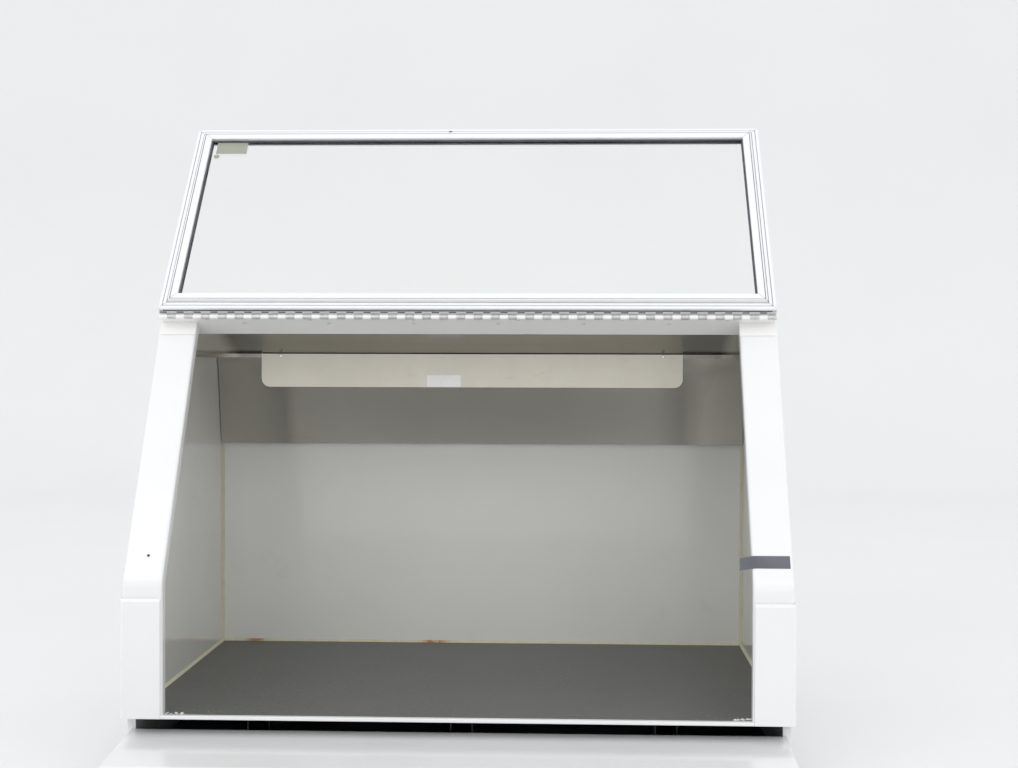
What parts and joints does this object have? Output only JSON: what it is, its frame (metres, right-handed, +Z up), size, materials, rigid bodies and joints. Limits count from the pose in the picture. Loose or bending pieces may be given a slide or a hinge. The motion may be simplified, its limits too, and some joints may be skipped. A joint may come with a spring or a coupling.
{
  "type": "fume hood",
  "caption": "Bench-top fume hood with a sloped front, a flip-up framed glass sash on a full-width hinge, a dark work surface, a baffle and a round exhaust collar at the rear.",
  "frame": {"origin": "on the bench, at the middle of the width and half-way from the apron's front to the end of the exhaust collar", "axes": "+X to the right seen from the front, +Y to the back, +Z up"},
  "size_m": [0.9127, 0.778, 0.9329],
  "materials": {
    "white_paint": "glossy white epoxy powder coat",
    "header_paint": "satin off-white paint",
    "cream_paint": "satin cream paint",
    "liner_white": "glossy white chamber lining",
    "stainless": "brushed stainless sheet",
    "galvanised": "galvanised sheet",
    "slab": "dark grey resin work surface",
    "sealant": "aged beige sealant",
    "aluminium": "clear anodised extrusion",
    "clear_glass": "clear tempered glass",
    "gasket": "black glazing rubber",
    "pad_rubber": "black rubber",
    "hinge_steel": "plated hinge steel",
    "fastener_steel": "bright zinc-plated steel",
    "painted_rivet": "painted over",
    "dark_fastener": "black oxide",
    "lamp_glass": "white phosphor-coated tube",
    "lamp_plastic": "white moulding",
    "reflector_paint": "white reflector enamel",
    "label_film": "blank white label",
    "faded_label": "blank faded label",
    "dark_tape": "dark vinyl tape",
    "switch_plastic": "black switch moulding"
  },
  "bodies": {
    "cabinet": {"post_left": "white_paint", "post_right": "white_paint", "sleeve_left": "white_paint", "sleeve_right": "white_paint", "side_panel_left": "white_paint", "side_panel_right": "white_paint", "rear_panel": "white_paint", "roof_panel": "white_paint", "sill_rail": "white_paint", "apron": "white_paint", "apron_end_caps": "white_paint", "base_rails": "white_paint", "exhaust_collar": "white_paint", "header": "header_paint", "hinge_fixed_leaf": "header_paint", "lamp_shield": "cream_paint", "liner_left": "liner_white", "liner_right": "liner_white", "back_liner": "liner_white", "soffit_panel": "stainless", "ceiling_panel": "stainless", "upper_baffle": "stainless", "baffle_brackets": "stainless", "base_pan": "galvanised", "floor_supports": "galvanised", "lamp_ballast": "galvanised", "work_surface": "slab", "sealant": "sealant", "base_feet": "pad_rubber", "sash_rest_pads": "pad_rubber", "cord_gland": "pad_rubber", "hinge_pin": "hinge_steel", "sash_rest_brackets": "hinge_steel", "collar_screws": "fastener_steel", "rear_panel_screws": "fastener_steel", "apron_screws": "fastener_steel", "sash_rest_screws": "fastener_steel", "lamp_shield_screws": "fastener_steel", "header_rivets": "painted_rivet", "hinge_fixed_screws": "painted_rivet", "post_screw": "dark_fastener", "lamp_tube": "lamp_glass", "lamp_sockets": "lamp_plastic", "lamp_reflector": "reflector_paint", "lamp_label": "label_film", "marker_tape": "dark_tape", "light_switch_frame": "switch_plastic"},
    "sash": {"sash_hinge_rail": "aluminium", "sash_free_rail": "aluminium", "sash_left_stile": "aluminium", "sash_right_stile": "aluminium", "sash_glass": "clear_glass", "glazing_gasket": "gasket", "sash_edge_seal": "gasket", "sash_corner_screws": "fastener_steel", "hinge_sash_leaf": "hinge_steel", "hinge_sash_screws": "fastener_steel", "sash_screw": "dark_fastener", "sash_label": "faded_label"},
    "light_rocker": {"light_switch_rocker": "switch_plastic"}
  },
  "joints": [
    {"name": "sash_hinge", "type": "hinge", "parent": "cabinet", "child": "sash", "pos_m": [0, -0.0625, 0.6252], "axis": [1, 0, 0], "range_deg": [0, 191.3]},
    {"name": "light_switch_rock", "type": "hinge", "parent": "cabinet", "child": "light_rocker", "pos_m": [0.45, 0.043, 0.6074], "axis": [0, 1, 0], "range_deg": [0, 14]}
  ]
}
